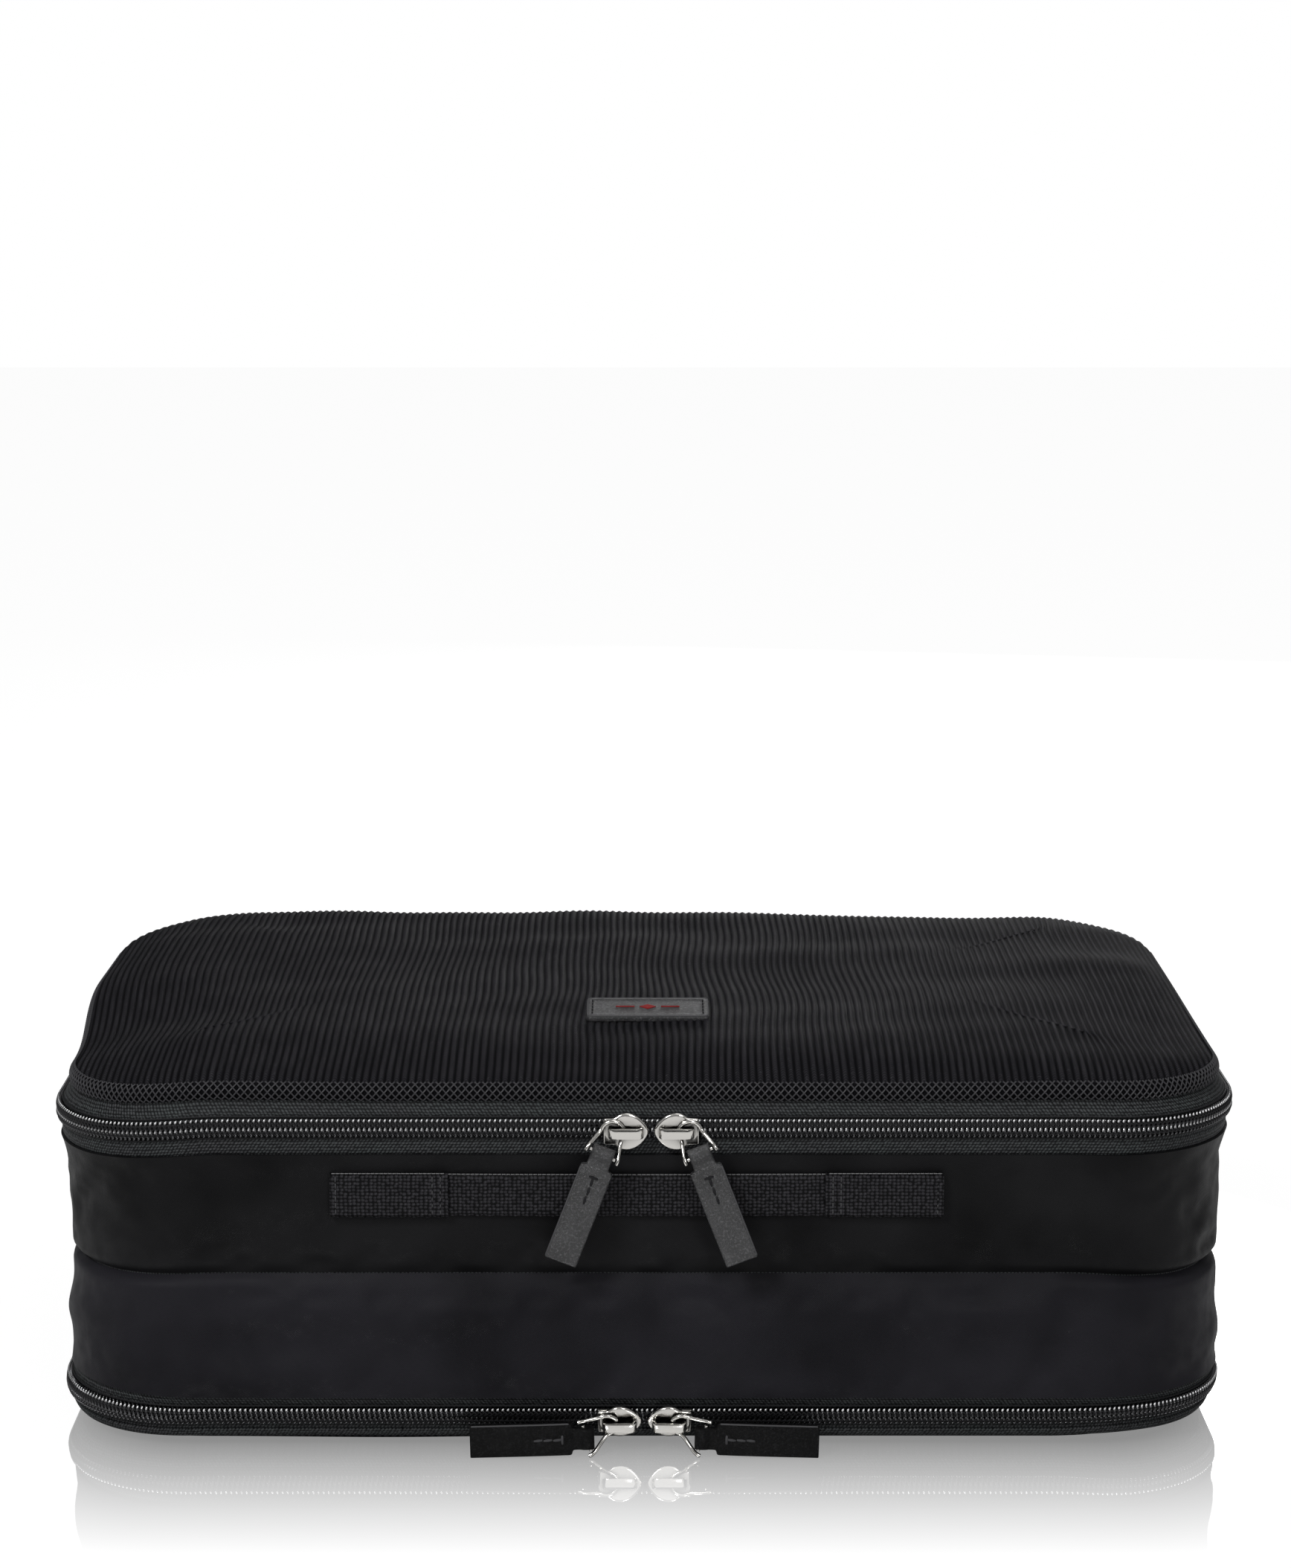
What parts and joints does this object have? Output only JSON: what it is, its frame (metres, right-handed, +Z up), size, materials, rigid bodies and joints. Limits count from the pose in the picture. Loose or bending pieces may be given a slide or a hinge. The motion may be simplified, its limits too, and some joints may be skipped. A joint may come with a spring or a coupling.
{
  "type": "packing cube",
  "caption": "Soft double-sided packing cube lying flat: nylon walls, ribbed mesh lid, a zipped compartment on each face, webbing handle and leather zip pulls",
  "frame": {"origin": "centre of the footprint of the bag, on the floor", "axes": "+X to the right along the long side, +Y from the front to the rear, +Z up from the lower lid to the upper lid"},
  "size_m": [0.3616, 0.2381, 0.1237],
  "materials": {
    "nylon": "smooth black twill with a faint sheen",
    "mesh": "matt black ribbed warp knit",
    "tape": "matt black knitted zip tape and binding",
    "coil": "shiny black nylon coil",
    "webbing": "matt black ribbed webbing",
    "leather": "black, fine grain",
    "nickel": "polished nickel plate"
  },
  "bodies": {
    "bag": {"upper_front_wall": "nylon", "upper_rear_wall": "nylon", "lower_front_wall": "nylon", "lower_rear_wall": "nylon", "divider_panel": "nylon", "divider_binding": "tape", "top_hinge_strip": "tape", "bottom_hinge_strip": "tape", "top_wall_tape": "tape", "top_wall_coil": "coil", "bottom_wall_tape": "tape", "bottom_wall_coil": "coil", "handle_tab_left": "webbing", "handle_tab_right": "webbing"},
    "handle": {"handle_grip": "webbing"},
    "top_lid": {"top_lid_mesh": "mesh", "top_lid_rear_band": "nylon", "top_lid_tape": "tape", "top_lid_coil": "coil", "top_lid_binding": "tape", "label_patch": "leather"},
    "bottom_lid": {"bottom_lid_panel": "nylon", "bottom_lid_rear_band": "nylon", "bottom_lid_tape": "tape", "bottom_lid_coil": "coil", "bottom_lid_binding": "tape"},
    "top_left_slider": {"top_left_slider_body": "nickel", "top_left_slider_bridge": "nickel"},
    "top_left_loop": {"top_left_pull_loop": "nickel", "top_left_pull_pin": "nickel"},
    "top_left_pull": {"top_left_pull_tab": "leather"},
    "top_right_slider": {"top_right_slider_body": "nickel", "top_right_slider_bridge": "nickel"},
    "top_right_loop": {"top_right_pull_loop": "nickel", "top_right_pull_pin": "nickel"},
    "top_right_pull": {"top_right_pull_tab": "leather"},
    "bottom_left_slider": {"bottom_left_slider_body": "nickel", "bottom_left_slider_bridge": "nickel"},
    "bottom_left_loop": {"bottom_left_pull_loop": "nickel", "bottom_left_pull_pin": "nickel"},
    "bottom_left_pull": {"bottom_left_pull_tab": "leather"},
    "bottom_right_slider": {"bottom_right_slider_body": "nickel", "bottom_right_slider_bridge": "nickel"},
    "bottom_right_loop": {"bottom_right_pull_loop": "nickel", "bottom_right_pull_pin": "nickel"},
    "bottom_right_pull": {"bottom_right_pull_tab": "leather"}
  },
  "joints": [
    {"name": "top_lid_hinge", "type": "hinge", "parent": "bag", "child": "top_lid", "pos_m": [0, 0.1145, 0.10115], "axis": [-1, 0, 0], "range_deg": [0, 180]},
    {"name": "bottom_lid_hinge", "type": "hinge", "parent": "bag", "child": "bottom_lid", "pos_m": [0, 0.1132, 0.01082], "axis": [1, 0, 0], "range_deg": [0, 180]},
    {"name": "handle_bow", "type": "slide", "parent": "bag", "child": "handle", "axis": [0, -1, 0], "range_m": [0, 0.004]},
    {"name": "top_left_slide", "type": "slide", "parent": "bag", "child": "top_left_slider", "axis": [-1, 0, 0], "range_m": [0, 0.115]},
    {"name": "top_left_swing", "type": "hinge", "parent": "top_left_slider", "child": "top_left_loop", "pos_m": [-0.0094, -0.11775, 0.101], "axis": [0, 1, 0], "range_deg": [-15, 120]},
    {"name": "top_left_flip", "type": "hinge", "parent": "top_left_loop", "child": "top_left_pull", "pos_m": [-0.01236, -0.12117, 0.09544], "axis": [-0.8829, 0, 0.4695], "range_deg": [0, 100]},
    {"name": "top_right_slide", "type": "slide", "parent": "bag", "child": "top_right_slider", "axis": [1, 0, 0], "range_m": [0, 0.115]},
    {"name": "top_right_swing", "type": "hinge", "parent": "top_right_slider", "child": "top_right_loop", "pos_m": [0.0134, -0.11775, 0.101], "axis": [0, -1, 0], "range_deg": [-15, 120]},
    {"name": "top_right_flip", "type": "hinge", "parent": "top_right_loop", "child": "top_right_pull", "pos_m": [0.01636, -0.12117, 0.09544], "axis": [-0.8829, 0, -0.4695], "range_deg": [0, 100]},
    {"name": "bottom_left_slide", "type": "slide", "parent": "bag", "child": "bottom_left_slider", "axis": [-1, 0, 0], "range_m": [0, 0.115]},
    {"name": "bottom_left_swing", "type": "hinge", "parent": "bottom_left_slider", "child": "bottom_left_loop", "pos_m": [-0.0114, -0.11385, 0.00927], "axis": [0, 0.9397, 0.342], "range_deg": [0, 60]},
    {"name": "bottom_left_flip", "type": "hinge", "parent": "bottom_left_loop", "child": "bottom_left_pull", "pos_m": [-0.01732, -0.11632, 0.00608], "axis": [-0.3191, 0.0384, 0.9469], "range_deg": [-8, 80]},
    {"name": "bottom_right_slide", "type": "slide", "parent": "bag", "child": "bottom_right_slider", "axis": [1, 0, 0], "range_m": [0, 0.115]},
    {"name": "bottom_right_swing", "type": "hinge", "parent": "bottom_right_slider", "child": "bottom_right_loop", "pos_m": [0.0114, -0.11385, 0.00927], "axis": [0, -0.9397, -0.342], "range_deg": [0, 60]},
    {"name": "bottom_right_flip", "type": "hinge", "parent": "bottom_right_loop", "child": "bottom_right_pull", "pos_m": [0.01732, -0.11632, 0.00608], "axis": [-0.3191, -0.0384, -0.9469], "range_deg": [-8, 80]}
  ]
}
